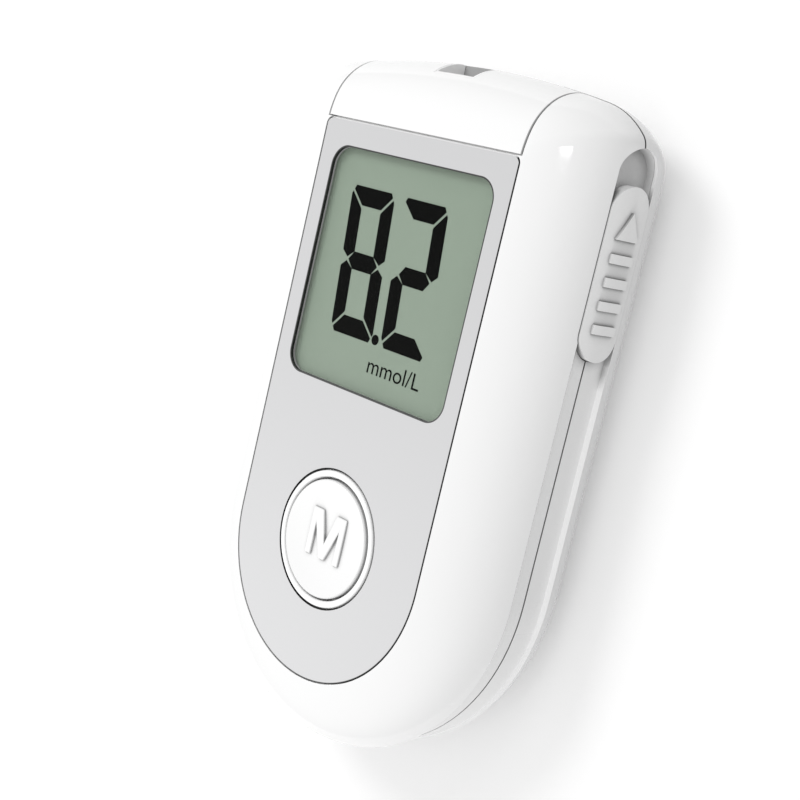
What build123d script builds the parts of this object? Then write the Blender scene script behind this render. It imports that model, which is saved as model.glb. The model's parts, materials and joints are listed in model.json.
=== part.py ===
from build123d import *
import os
from math import acos, cos, radians, sin, sqrt, tan

# A hand-held blood glucose meter, lying on its back. Millimetres.
# +Z points out of the display, +Y towards the test strip port and +X towards the ejector slider.
# The origin is the middle of the footprint, on the plane of the back.

# ---------------------------------------------------------------- body
body_length = 85.0
body_width = 53.2
body_thickness = 17.5
parting_height = 9.4          # plane where the front and the rear housing meet
wall = 2.0                    # side walls of both housings
floor_thickness = 1.8         # back plate of the rear housing
shoulder_centre = 11.05       # middle of the half-ellipse that rounds the long edges, from the middle plane
end_crown_radius = 134.0      # the port end, seen from the front
corner_radius = 11.0          # corners of the port end at the parting plane, first arc
kink_radius = 2.2             # and the tight arc that meets the straight side
kink_angle = 47.0             # how far the tight arc turns
back_side_radius = 7.2        # rounding of the back's long edges
back_end_run = 9.4            # how far the back's ends are rounded
back_kink_radius = 6.0        # the tight corner arc, grown at the back
lip_height = 0.8              # tongue round the rear housing's rim
lip_gap = 0.1
lip_skirt = 0.4               # front housing's skin outside the tongue, where the grip band thins it
seam = 0.18                   # gap round the panel and the cap
parting_gap = 0.15            # groove between the two housings
parting_gap_depth = 0.3       # how far it goes in past the grip band's floor
end_fullness = 1.2            # how far the round end's shoulder swells out, half way up

# ---------------------------------------------------------------- front panel, cap and display
panel_width = 33.5
panel_thickness = 0.3
adhesive_thickness = 0.1      # black tape under the panel
adhesive_gap = 0.04           # from the tape to the pocket's wall and to the ring
panel_corner_radius = 1.0
cap_length = 9.47             # port end to the panel's straight edge
cap_thickness = 1.2
bottom_border = 7.98          # panel's round end to the body's round end
deck_thickness = 1.9          # housing web under the panel
window_width = 28.0
window_height = 28.4
window_radius = 2.5
window_top_border = 3.25      # panel's straight edge to the window
gasket_thickness = 0.25
lens_thickness = 0.4
lens_border = 1.9             # lens beyond the window
glass_thickness = 1.1         # each of the display's two glasses
glass_border = 0.9            # glass beyond the window
glass_ledge = 3.2             # front glass past the window at its lower edge, for the contacts
glass_clearance = 0.2
reflector_thickness = 0.3
holder_wall = 0.7
holder_floor = 0.8
holder_leg = 2.0
holder_leg_x = 9.5            # upper legs, inside the screws
holder_clearance = 0.15       # to the front housing
zebra_width = 25.0
zebra_depth = 2.2

# ---------------------------------------------------------------- button
button_border = 17.62         # panel's round end to the button's middle
button_radius = 7.3
ring_radius = 8.4
ring_clearance = 0.25         # round the button
ring_gap = 0.28               # from the ring to the panel
ring_rise = 0.12              # ring above the panel
ring_edge = 0.25              # rounding of its edges
ring_step = 0.5               # its neck through the housing is this much smaller
ring_fit = 0.1                # round the neck
button_rise = 0.3             # button above the panel
button_edge = 0.3
button_dish = 0.4             # hollow of its top
button_flange = 1.4           # collar that keeps the button in
button_travel = 0.5
stem_radius = 2.0
switch_size = 6.0
switch_height = 2.5
plunger_radius = 1.7
plunger_rise = 1.0
plunger_clearance = 0.1

# ---------------------------------------------------------------- circuit board
board_thickness = 1.2
board_top = 7.7
board_gap = 1.0               # inside the walls
board_slider_gap = 1.5        # board's edge to the ejector's carriage
board_notch_gap = 3.7         # board's notch to the slot's lower end
chip_size = 7.0
chip_height = 1.1
chip_from_cell = (-10.8, -2.5)
buzzer_radius = 4.5
buzzer_height = 3.0
buzzer_hole = 1.0
buzzer_from_cell = (-10.0, 20.5)
crystal_radius = 1.6
crystal_length = 6.0
crystal_from_cell = (8.0, 21.5)

# ---------------------------------------------------------------- strip port
port_width = 6.6
port_front = 3.3              # below the front face
port_back = 8.3               # its floor lies just under the parting plane
port_wall = 0.25
port_clearance = 0.05
port_plate = 0.7              # plate with the strip's slot
port_depth = 6.1              # port end to the plate
port_flange = 1.3
strip_width = 5.8
strip_slot = 1.0              # height of the channel that the strip slides into
strip_height = 10.1           # strip's middle above the back
connector_width = 11.0
connector_depth = 9.5
connector_height = 3.9
contact_count = 5
contact_pitch = 1.0
contact_width = 0.5
contact_thickness = 0.15

# ---------------------------------------------------------------- strip ejector
slot_length = 24.1
slot_width = 5.95
slot_top_border = 5.7         # port end to the slot
slot_height = 8.95            # its middle above the back
slot_depth = 1.5              # from the side of the body to the track's floor
slot_lip = 0.35               # housing's skin over the rim of the track
slider_length = 19.75
slider_clearance = 0.12
slider_lift = 0.15            # slider above the body's surface
slider_float = 0.2            # slider above the track's floor
slider_travel = 4.1
track_wall = 0.6
track_clearance = 0.05
track_flange = 1.2
track_overlap = 1.6
track_hollow = 0.45           # how far its floor is hollowed
track_hollow_radius = 11.0
neck_length = 8.0
neck_width = 2.4
neck_clearance = 0.2
carriage_width = 3.6
carriage_gap = 0.3
carriage_length = 15.0
carriage_height = 4.0
arm_width = 2.2
arm_height = 1.0
finger_width = 3.0
finger_gap = 0.7              # finger tip to the connector at rest
arm_clearance = 0.3           # arm to the connector at the end of the travel
rib_count = 4
rib_pitch = 2.65
rib_width = 1.05              # along the slide
rib_length = 3.55             # across the slide
rib_rise = 0.35
rib_border = 3.7              # slider's lower end to the middle of the lowest rib
arrow_length = 3.15
arrow_gap = 1.6               # last rib to the arrow
spring_radius = 1.5
spring_wire = 0.35
spring_turns = 4.0
spring_stop = 1.4             # thickness of the post that the spring pushes on
spring_length = 6.8

# ---------------------------------------------------------------- grip band round the sides
band_depth = 0.85
band_lean = 60.0              # of its upper wall, in degrees from straight out
band_draft = 8.0              # of its lower wall
band_rim = 0.65               # height of the upper wall
band_reach = 1.0              # how far the cut goes out past the body

# ---------------------------------------------------------------- battery
cell_radius = 10.0
cell_height = 3.2
cell_clearance = 0.25
cell_border = 36.0            # round end to the cell's middle
door_side = 3.0               # door beyond the cell on each side
door_end = 5.0                # and at each end
door_thickness = 1.5
door_radius = 3.0
door_clearance = 0.2
door_open_angle = 35.0
hinge_tab_width = 5.0
hinge_tab_reach = 1.5
hinge_tab_thickness = 0.9
hinge_tab_spacing = 15.0
door_ledge = 2.0              # rim inside the housing that the door rests on
well_wall = 1.2
nest_wall = 0.7               # round rib that holds the cell
well_roof = 0.8
contact_spring = 0.25         # thickness of the battery contacts
contact_strip = 3.0           # and their width
contact_bow = 0.45            # how far the positive leaf's dimple stands out to the cell's rim
contact_leg = 6.0             # negative leg, from the cell's middle

# ---------------------------------------------------------------- screws
screw_radius = 1.0
screw_head_radius = 1.9
screw_head_height = 1.2
screw_sink = 0.5              # head below the back
screw_length = 12.0
screw_clearance = 0.05
boss_wall = 1.5
screw_top_x = 12.5            # from the middle, mirrored
screw_top_border = 8.3        # port end to the upper screws
screw_bottom_x = 13.5
screw_bottom_border = 17.5    # round end to the lower screws
board_screw_length = 4.5
board_screws_from_cell = [(-18.5, 14.5), (-18.5, -7.5), (19.0, -5.5)]

# ---------------------------------------------------------------- sizes that follow
half_width = body_width / 2
end_y = body_length / 2
panel_half = panel_width / 2
panel_top_y = end_y - cap_length
panel_centre_y = -end_y + bottom_border + panel_half
body_centre_y = -end_y + half_width
front_depth = body_thickness - parting_height
end_bulge = end_crown_radius - sqrt(end_crown_radius**2 - panel_half**2)
end_round_y = end_y - end_bulge - front_depth
shoulder_run = half_width - shoulder_centre
shoulder_height = front_depth / sqrt(1 - ((panel_half - shoulder_centre) / shoulder_run) ** 2)
panel_back = body_thickness - panel_thickness
deck_top = panel_back - adhesive_thickness
deck_bottom = deck_top - deck_thickness
roof = body_thickness - deck_bottom
lip_inset = band_depth + lip_skirt + lip_gap

window_y = panel_top_y - window_top_border - window_height / 2
gasket_top = deck_top
lens_top = gasket_top - gasket_thickness
lens_bottom = lens_top - lens_thickness
glass_back = lens_bottom - 2 * glass_thickness
reflector_back = glass_back - reflector_thickness
holder_bottom = reflector_back - holder_floor
glass_low_y = window_y - window_height / 2 - glass_ledge
glass_high_y = window_y + window_height / 2 + glass_border
glass_half = window_width / 2 + glass_border
zebra_y = glass_low_y + zebra_depth / 2 + 0.2

button_centre_y = -end_y + bottom_border + button_border
ring_top = body_thickness + ring_rise
button_top = body_thickness + button_rise
collar_top = deck_bottom - 0.2
collar_bottom = collar_top - 1.0
switch_top = board_top + switch_height
plunger_top = switch_top + plunger_rise
board_bottom = board_top - board_thickness

port_plate_y = end_y - port_depth
port_top_z = body_thickness - port_front
port_low_z = body_thickness - port_back
connector_y = port_plate_y - 0.1 - connector_depth / 2
connector_back_y = connector_y - connector_depth / 2
slot_y = end_y - slot_top_border - slot_length / 2
slot_low_y = slot_y - slot_length / 2
slider_low_y = slot_low_y + slider_clearance
slider_y = slider_low_y + slider_length / 2
track_top = half_width - slot_depth
flange_top = half_width - wall - track_clearance
flange_back = flange_top - track_flange
carriage_x = flange_back - carriage_gap - carriage_width / 2
board_slider_x = carriage_x - carriage_width / 2 - board_slider_gap
board_notch_y = slot_low_y - board_notch_gap
arm_y = connector_back_y - slider_travel - arm_clearance - arm_width / 2
spring_y = slider_y + carriage_length / 2
spring_end_y = spring_y + spring_length
band_low = slot_height - slot_width / 2
band_high = slot_height + slot_width / 2
well_top = floor_thickness + cell_height + contact_spring + 0.15
cell_centre_y = -end_y + cell_border
door_width = 2 * (cell_radius + door_side)
door_length = 2 * (cell_radius + door_end)
hinge_y = cell_centre_y + door_length / 2


def block(x, y, z):
    """A box between three (low, high) pairs."""
    middle = [(low + high) / 2 for low, high in (x, y, z)]
    return Pos(*middle) * Box(x[1] - x[0], y[1] - y[0], z[1] - z[0])


def post(x, y, radius, low, high):
    return Pos(x, y, (low + high) / 2) * Cylinder(radius, high - low)


def plate(width, height, radius, y, low, high):
    """A flat plate with round corners, centred on x = 0."""
    return Pos(0, y, low) * extrude(RectangleRounded(width, height, radius), high - low)


def blend(first, last, share):
    return first + (last - first) * share


def outline(half, top, crown, corner, kink, centre_y, z):
    """The body's plan at one height: round lower end, straight sides, crowned port end.

    Each port corner is two tangent arcs, a tight one beside the straight side and a wide one above it.
    """
    turn = radians(kink_angle)
    reach = (half - kink + (kink - corner) * cos(turn)) / (crown - corner)
    end_turn = acos(reach)
    wide_y = top - crown + (crown - corner) * sin(end_turn)
    kink_y = wide_y - (kink - corner) * sin(turn)
    wide_x = half - kink + (kink - corner) * cos(turn)

    def tight(angle):
        return (half - kink + kink * cos(angle), kink_y + kink * sin(angle))

    def wide(angle):
        return (wide_x + corner * cos(angle), wide_y + corner * sin(angle))

    mirror_x = [(-1, 1), (1, 1)]
    left, right = mirror_x

    def arc(side, pick, start, end):
        points = [pick(start), pick((start + end) / 2), pick(end)]
        return ThreePointArc(*[(side[0] * x, y, z) for x, y in points])

    edges = [
        Line((half, centre_y, z), (half, kink_y, z)),
        arc(right, tight, 0, turn),
        arc(right, wide, turn, end_turn),
        ThreePointArc(
            (crown * reach, top - crown + crown * sin(end_turn), z),
            (0, top, z),
            (-crown * reach, top - crown + crown * sin(end_turn), z),
        ),
        arc(left, wide, end_turn, turn),
        arc(left, tight, turn, 0),
        Line((-half, kink_y, z), (-half, centre_y, z)),
        ThreePointArc((-half, centre_y, z), (0, centre_y - half, z), (half, centre_y, z)),
    ]
    return Wire(edges)


def shoulder(turn):
    """Half width of the front housing, from the panel's edge (0) to the parting plane (90 degrees)."""
    return shoulder_centre + shoulder_run * sqrt(1 - (front_depth * cos(turn) / shoulder_height) ** 2)


def front_outline(turn, inset, drop):
    half = shoulder(turn)
    share = (half - panel_half) / (half_width - panel_half)
    top = end_round_y + (front_depth + end_bulge) * sin(turn)
    crown = 1 / (sin(turn) / end_crown_radius + 1 / (end_crown_radius * 30))
    corner = blend(panel_corner_radius, corner_radius, sin(turn))
    kink = blend(panel_corner_radius, kink_radius, sin(turn))
    z = parting_height + (front_depth - drop) * cos(turn)
    return outline(
        half - inset,
        top - inset,
        crown - inset,
        max(corner - inset, 0.6),
        max(kink - inset, 0.5),
        blend(panel_centre_y, body_centre_y, share) - end_fullness * sin(2 * turn) ** 2,
        z,
    )


def rear_outline(turn, inset, lift):
    z = parting_height * (1 - sin(turn))
    rounding = max(back_side_radius - z, 0)
    half = half_width - back_side_radius + sqrt(back_side_radius**2 - rounding**2)
    shortening = back_end_run * (1 - cos(turn))
    return outline(
        half - inset,
        end_y - shortening - inset,
        end_crown_radius - inset,
        corner_radius - inset,
        max(blend(kink_radius, back_kink_radius, 1 - cos(turn)) - inset, 0.5),
        -end_y + shortening + half,
        lift + (parting_height - lift) * (1 - sin(turn)),
    )


turns = [radians(angle) for angle in (0, 15, 30, 45, 60, 75, 90)]


def front_form(inset=0.0, drop=0.0, ruled=False):
    """The front half of the body, offset inwards. Faces that never show are ruled, not smooth."""
    return Solid.make_loft([front_outline(turn, inset, drop) for turn in turns], ruled)


def rear_form(inset=0.0, lift=0.0, ruled=False):
    return Solid.make_loft([rear_outline(turn, inset, lift) for turn in turns], ruled)


def inner_form(inset, drop, lift):
    """Both halves together, offset inwards: what is inside this space is clear of the skin."""
    return front_form(inset, drop, True) + rear_form(inset, lift, True)


def parting_prism(inset, low, high):
    """The body's plan at the parting plane, as a straight block."""
    face = Face(front_outline(turns[-1], inset, 0))
    return extrude(Pos(0, 0, low - parting_height) * face, high - low, dir=(0, 0, 1))


def obround(length, width, y, x_low, x_high):
    """A block with round ends along Y, cut through the side wall along X."""
    sketch = Plane.YZ * Pos(y, slot_height) * SlotOverall(length, width)
    return Pos(x_low, 0, 0) * extrude(sketch, x_high - x_low, dir=(1, 0, 0))


def panel_outline(gap):
    half = panel_half - gap
    top = panel_top_y - gap
    corner = panel_corner_radius
    line = FilletPolyline(
        (half, panel_centre_y), (half, top), (-half, top), (-half, panel_centre_y), radius=corner
    )
    bottom = ThreePointArc((-half, panel_centre_y), (0, panel_centre_y - half), (half, panel_centre_y))
    return make_face([line, bottom])


def cap_zone(gap):
    """The space of the top cap: between the two seams, beyond the panel and above the parting plane."""
    return block(
        (-panel_half + gap, panel_half - gap),
        (panel_top_y + gap, end_y + 1),
        (parting_height, body_thickness + 1),
    )


def port_block(gap, y_low):
    return block(
        (-port_width / 2 - gap, port_width / 2 + gap),
        (y_low, end_y + 2),
        (port_low_z - gap, port_top_z + gap),
    )


def grip_band(depth):
    """The ring cut from both housings: down one side, round the bottom and up the other.

    It is as wide as the slider's slot and runs into it. Its upper wall leans outwards, its lower wall has draft.
    """
    lean = (band_reach + depth) * tan(radians(band_lean))
    draft = (band_reach + depth) * tan(radians(band_draft))
    floor_high = band_high - band_rim
    levels = [
        (-band_reach, band_low - draft),
        (depth, band_low),
        (depth, floor_high),
        (-band_reach, floor_high + lean),
    ]
    core = Solid.make_loft(
        [Pos(0, 0, z - parting_height) * front_outline(turns[-1], inset, 0) for inset, z in levels], True
    )
    round_y = slot_low_y + slot_width / 2
    ring = block(
        (-half_width - 2, half_width + 2), (-end_y - 2, round_y), (band_low - draft, floor_high + lean)
    )
    round_ends = Pos(0, round_y, slot_height) * Rot(0, 90, 0) * Cylinder(slot_width / 2, body_width + 4)
    return ring + round_ends - core


def door_plan(gap):
    """The battery door's outline: square at the hinge, round corners at the other end."""
    half = door_width / 2 + gap
    low, high = cell_centre_y - door_length / 2 - gap, hinge_y + gap
    sides = FilletPolyline((half, high), (half, low), (-half, low), (-half, high), radius=door_radius + gap)
    return make_face([sides, Line((-half, high), (half, high))])


def screw_places():
    pairs = [(screw_top_x, end_y - screw_top_border), (screw_bottom_x, -end_y + screw_bottom_border)]
    return [(side * x, y) for x, y in pairs for side in (-1, 1)]


def board_screw_places():
    return [(x, cell_centre_y + y) for x, y in board_screws_from_cell]


def track_space(clearance):
    """The outside of the track's cup: it ends under a thin skin of the housings."""
    grown = 2 * (track_wall + clearance)
    skin = slot_lip + track_clearance - clearance
    cup = obround(slot_length + grown, slot_width + grown, slot_y, flange_back, half_width + 1)
    return (cup & inner_form(skin, skin, skin)) - grip_band(band_depth + skin)


front_body = front_form()
rear_body = rear_form()
front_hollow = front_form(wall, roof, True)
rear_hollow = rear_form(wall, floor_thickness, True)
band = grip_band(band_depth)
track_pocket = track_space(track_clearance)


# ---------------------------------------------------------------- housings
def cut_sides(shell):
    """What both housings lose along their sides: the grip band, the slider's slot and the strip port."""
    shell -= band
    shell -= obround(slot_length, slot_width, slot_y, flange_back, half_width + 1)
    shell -= track_pocket
    return shell - port_block(port_clearance, port_plate_y - port_clearance)


def make_front_housing():
    boss_radius = screw_radius + boss_wall
    bosses = [post(x, y, boss_radius, parting_height, deck_bottom + 0.1) for x, y in screw_places()]
    board_bosses = [post(x, y, boss_radius, board_top, deck_bottom + 0.1) for x, y in board_screw_places()]
    inside = front_form(wall / 2, roof / 2, True)
    inside += parting_prism(wall + 1.5 * lip_gap, board_top, parting_height)
    shell = front_body - front_hollow
    for boss in bosses + board_bosses:
        shell += boss & inside
    shell -= extrude(Pos(0, 0, deck_top) * panel_outline(0), body_thickness, dir=(0, 0, 1))
    shell -= (front_body - front_form(cap_thickness, cap_thickness, True)) & cap_zone(0)
    # display: a pocket for the lens and gasket over the opening for the glass
    pocket_width = window_width + 2 * lens_border + glass_clearance
    pocket_height = window_height + lens_border + glass_ledge + 1.0
    pocket_y = glass_high_y + 1.1 - pocket_height / 2
    shell -= plate(pocket_width, pocket_height, window_radius, pocket_y, lens_bottom, deck_top + 1)
    shell -= block(
        (-glass_half - glass_clearance, glass_half + glass_clearance),
        (glass_low_y - glass_clearance, glass_high_y + glass_clearance),
        (deck_bottom - 1, deck_top),
    )
    # button
    shell -= post(0, button_centre_y, ring_radius - ring_step + ring_fit, deck_bottom - 1, deck_top + 1)
    # rim groove for the rear housing's tongue
    low, high = parting_height - 1, parting_height + lip_height + lip_gap
    inner_side = parting_prism(wall + lip_gap, low - 1, high + 1)
    shell -= parting_prism(lip_inset - lip_gap, low, high) - inner_side
    # under the cap the tongue stands free
    shell -= (parting_prism(-1, low, high) - inner_side) & cap_zone(0)
    for x, y in screw_places():
        shell -= post(x, y, screw_radius + screw_clearance, parting_height - 1, deck_bottom - 0.6)
    for x, y in board_screw_places():
        shell -= post(x, y, screw_radius + screw_clearance, board_top - 1, board_top + board_screw_length)
    return cut_sides(shell)


def make_rear_housing():
    boss_radius = screw_head_radius + boss_wall * 0.7
    inside = rear_form(wall / 2, floor_thickness / 2, True) + front_form(wall + holder_clearance, roof, True)
    shell = rear_body - rear_hollow
    tongue = parting_prism(lip_inset, parting_height - 1.5, parting_height + lip_height)
    shell += tongue - parting_prism(wall - 0.05, parting_height - 2, parting_height + lip_height + 1)
    parts = [post(x, y, boss_radius, floor_thickness / 2, parting_height) for x, y in screw_places()]
    # rails that carry the ejector's carriage
    rail_top = slot_height - carriage_height / 2 - 0.1
    for x in (carriage_x - carriage_width / 3, carriage_x + carriage_width / 3):
        parts.append(
            block(
                (x - 0.5, x + 0.5),
                (slider_y - carriage_length / 2 - 1, spring_end_y),
                (floor_thickness / 2, rail_top),
            )
        )
    # post that the return spring pushes on
    parts.append(
        block(
            (carriage_x - carriage_width / 2, carriage_x + carriage_width / 2),
            (spring_end_y, spring_end_y + spring_stop),
            (floor_thickness / 2, slot_height + spring_radius),
        )
    )
    # well over the battery
    well_width, well_length = door_width - 2 * door_ledge, door_length - 2 * door_ledge
    well = plate(
        well_width + 2 * well_wall,
        well_length + 2 * well_wall,
        door_radius,
        cell_centre_y,
        floor_thickness / 2,
        well_top + well_roof,
    )
    for piece in parts:
        shell += piece & inside
    shell += well
    shell -= plate(well_width, well_length, door_radius, cell_centre_y, -1, well_top)
    # round nest that keeps the cell in place
    nest_radius = cell_radius + cell_clearance
    nest = post(0, cell_centre_y, nest_radius + nest_wall, door_thickness + 1, well_top + 0.1)
    nest &= block(
        (-well_width / 2 - 0.1, well_width / 2 + 0.1),
        (cell_centre_y - well_length / 2, cell_centre_y + well_length / 2),
        (0, body_thickness),
    )
    shell += nest - post(0, cell_centre_y, nest_radius, 0, well_top)
    shell -= extrude(door_plan(door_clearance), door_thickness + door_clearance, dir=(0, 0, 1))
    for side in (-1, 1):
        x = side * hinge_tab_spacing / 2
        reach = hinge_tab_width / 2 + door_clearance
        shell -= block(
            (x - reach, x + reach),
            (hinge_y - 4, hinge_y + hinge_tab_reach + 2 * door_clearance + well_wall),
            (door_thickness, door_thickness + hinge_tab_thickness + 1.6),
        )
    # the contacts' legs pass through the roof, and the positive leaf through the nest
    leg_half = contact_strip / 2 + door_clearance
    leaf_low = cell_radius - 0.2
    leaf_high = cell_radius + contact_bow + contact_spring + door_clearance
    shell -= block(
        (leaf_low, leaf_high),
        (cell_centre_y - leg_half, cell_centre_y + leg_half),
        (door_thickness, well_top + well_roof + 1),
    )
    shell -= block(
        (-leg_half, leg_half),
        (cell_centre_y - contact_leg - door_clearance, cell_centre_y - contact_leg + contact_spring + door_clearance),
        (well_top - 1, well_top + well_roof + 1),
    )
    for x, y in screw_places():
        shell -= post(x, y, screw_radius + screw_clearance, -1, parting_height + 1)
        shell -= post(x, y, screw_head_radius + 0.2, -1, screw_sink + screw_head_height)
    # groove along the parting line
    low, high = parting_height - parting_gap, parting_height + 1
    rim = parting_prism(-1, low, high) - parting_prism(band_depth + parting_gap_depth, low, high)
    rim &= block((-half_width - 2, half_width + 2), (-end_y - 2, end_y + 2), (low, parting_height))
    return cut_sides(shell - rim)


def make_top_cap():
    skin = front_body - front_form(cap_thickness - 0.05, cap_thickness - 0.05, True)
    return (skin & cap_zone(seam)) - port_block(port_clearance, port_plate_y)


def make_face_panel():
    panel = extrude(Pos(0, 0, panel_back) * panel_outline(seam), panel_thickness, dir=(0, 0, 1))
    panel -= plate(window_width, window_height, window_radius, window_y, deck_top - 1, body_thickness + 1)
    return panel - post(0, button_centre_y, ring_radius + ring_gap, deck_top - 1, body_thickness + 1)


def make_panel_adhesive():
    """Black tape that fills the floor of the panel's pocket, so that the gaps round the panel look dark."""
    tape = extrude(Pos(0, 0, deck_top) * panel_outline(adhesive_gap), adhesive_thickness, dir=(0, 0, 1))
    tape -= plate(window_width, window_height, window_radius, window_y, deck_top - 1, body_thickness + 1)
    return tape - post(0, button_centre_y, ring_radius + adhesive_gap, deck_top - 1, body_thickness + 1)


# ---------------------------------------------------------------- display
def make_display_gasket():
    frame = plate(
        window_width + 2 * lens_border - 0.4,
        window_height + 2 * lens_border - 0.4,
        window_radius,
        window_y,
        lens_top,
        gasket_top,
    )
    return frame - plate(window_width, window_height, window_radius, window_y, lens_top - 1, gasket_top + 1)


def make_display_lens():
    height = window_height + lens_border + glass_ledge + 0.8
    y = glass_high_y + 1.0 - height / 2
    return plate(window_width + 2 * lens_border, height, window_radius, y, lens_bottom, lens_top)


def make_lcd_glass():
    front = block(
        (-glass_half, glass_half),
        (glass_low_y, glass_high_y),
        (lens_bottom - glass_thickness, lens_bottom),
    )
    rear = block(
        (-glass_half, glass_half),
        (zebra_y + zebra_depth / 2 + 0.4, glass_high_y),
        (glass_back, lens_bottom - glass_thickness),
    )
    return front + rear


def make_lcd_reflector():
    return block(
        (-window_width / 2, window_width / 2),
        (window_y - window_height / 2, glass_high_y - 0.5),
        (reflector_back, glass_back),
    )


def make_lcd_holder():
    half = glass_half + glass_clearance + holder_wall
    low = glass_low_y - glass_clearance - holder_wall
    high = glass_high_y + glass_clearance + holder_wall
    tray = block((-half, half), (low, high), (holder_bottom, deck_bottom))
    tray -= block(
        (-half + holder_wall, half - holder_wall),
        (low + holder_wall, high - holder_wall),
        (reflector_back, deck_bottom + 1),
    )
    tray -= block(
        (-zebra_width / 2 - 0.1, zebra_width / 2 + 0.1),
        (zebra_y - zebra_depth / 2 - 0.1, zebra_y + zebra_depth / 2 + 0.1),
        (holder_bottom - 1, deck_bottom),
    )
    tray &= front_form(wall + holder_clearance, roof, True)
    for side in (-1, 1):
        for x, y in ((half - holder_leg / 2, low + holder_leg / 2), (holder_leg_x, high - holder_leg / 2)):
            tray += block(
                (side * x - holder_leg / 2, side * x + holder_leg / 2),
                (y - holder_leg / 2, y + holder_leg / 2),
                (board_top, holder_bottom),
            )
    return tray


def make_zebra_connector():
    return block(
        (-zebra_width / 2, zebra_width / 2),
        (zebra_y - zebra_depth / 2, zebra_y + zebra_depth / 2),
        (board_top, lens_bottom - glass_thickness),
    )


# ---------------------------------------------------------------- button
def make_button_ring():
    ring = post(0, 0, ring_radius, deck_top, ring_top)
    ring += post(0, 0, ring_radius - ring_step, deck_bottom, deck_top)
    ring -= post(0, 0, button_radius + ring_clearance, deck_bottom - 1, ring_top + 1)
    ring = fillet(ring.edges().group_by(Axis.Z)[-1], ring_edge)
    return Pos(0, button_centre_y, 0) * ring


def make_memory_button():
    button = post(0, 0, button_radius, collar_bottom, button_top)
    button = fillet(button.edges().group_by(Axis.Z)[-1], button_edge)
    dish_radius = (button_radius**2 + button_dish**2) / (2 * button_dish)
    button -= Pos(0, 0, button_top + dish_radius - button_dish) * Sphere(dish_radius)
    button += post(0, 0, button_radius + button_flange, collar_bottom, collar_top)
    button -= post(0, 0, button_radius - 1.2, collar_bottom - 1, button_top - 1.6)
    button += post(0, 0, stem_radius, plunger_top, button_top - 1.0)
    for angle in (0, 60, 120):
        rib = block(
            (-button_radius + 0.6, button_radius - 0.6), (-0.4, 0.4), (collar_bottom, button_top - 1.5)
        )
        button += Rot(0, 0, angle) * rib
    return Pos(0, button_centre_y, 0) * button


def make_switch_body():
    half = switch_size / 2
    body = block((-half, half), (-half, half), (board_top, switch_top))
    body = chamfer(body.edges().filter_by(Axis.Z), 0.5)
    body -= post(0, 0, plunger_radius + plunger_clearance, board_top + 0.8, switch_top + 1)
    return Pos(0, button_centre_y, 0) * body


def make_switch_plunger():
    low = board_top + 0.8 + button_travel + 0.15
    return post(0, button_centre_y, plunger_radius, low, plunger_top)


# ---------------------------------------------------------------- circuit board and what it carries
def make_circuit_board():
    board = parting_prism(wall + board_gap, board_bottom, board_top)
    board &= rear_form(wall + board_gap / 2, 0, True)
    board -= block(
        (board_slider_x, half_width), (board_notch_y, end_y), (board_bottom - 1, board_top + 1)
    )
    board -= block(
        (-half_width, half_width), (port_plate_y - 0.3, end_y), (board_bottom - 1, board_top + 1)
    )
    for x, y in screw_places():
        board -= post(x, y, screw_head_radius + boss_wall + 0.3, board_bottom - 1, board_top + 1)
    for x, y in board_screw_places():
        board -= post(x, y, screw_radius + 0.1, board_bottom - 1, board_top + 1)
    return board


def make_microcontroller():
    chip = block((-chip_size / 2, chip_size / 2), (-chip_size / 2, chip_size / 2), (0.1, chip_height))
    chip = chamfer(chip.edges().group_by(Axis.Z)[-1], 0.2)
    chip -= post(-chip_size / 2 + 1.1, -chip_size / 2 + 1.1, 0.5, chip_height - 0.1, chip_height + 1)
    leads = []
    lead_pitch = 0.8
    for side in range(4):
        for number in range(8):
            offset = (number - 3.5) * lead_pitch
            lead = block((chip_size / 2, chip_size / 2 + 1.0), (offset - 0.18, offset + 0.18), (0, 0.35))
            leads.append(Rot(0, 0, 90 * side) * lead)
    x, y = chip_from_cell
    return Pos(x, cell_centre_y + y, board_top) * (chip + leads)


def make_chip_parts():
    """Small surface-mounted parts: length, width, height and place of each, from the cell's middle."""
    parts = [
        (2.0, 1.25, 0.8, -6, 10.5),
        (2.0, 1.25, 0.8, -6, 13.5),
        (2.0, 1.25, 0.8, 4, 10.5),
        (1.6, 0.8, 0.5, 4, 13.5),
        (1.6, 0.8, 0.5, 10, 11.5),
        (3.2, 1.6, 1.2, 10, 15.5),
        (3.0, 1.4, 1.1, -12, 32.5),
        (2.0, 1.25, 0.8, 12, -11.5),
    ]
    return Compound([Pos(x, cell_centre_y + y, board_top + h / 2) * Box(l, w, h) for l, w, h, x, y in parts])


def make_crystal():
    """A round can lying on the board, with its leads in front of it."""
    x, y = crystal_from_cell[0], cell_centre_y + crystal_from_cell[1]
    can = Pos(x, y, board_top + crystal_radius) * Rot(90, 0, 0) * Cylinder(crystal_radius, crystal_length)
    foot = y - crystal_length / 2
    return can + block((x - 1.0, x + 1.0), (foot - 1.0, foot), (board_top, board_top + 1.0))


def make_buzzer():
    x, y = buzzer_from_cell[0], cell_centre_y + buzzer_from_cell[1]
    top = board_top + buzzer_height
    return post(x, y, buzzer_radius, board_top, top) - post(x, y, buzzer_hole, board_top + 0.8, top + 1)


# ---------------------------------------------------------------- strip port
def strip_channel(y_low, y_high):
    return block(
        (-strip_width / 2 - 0.15, strip_width / 2 + 0.15),
        (y_low, y_high),
        (strip_height - strip_slot / 2, strip_height + strip_slot / 2),
    )


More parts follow.
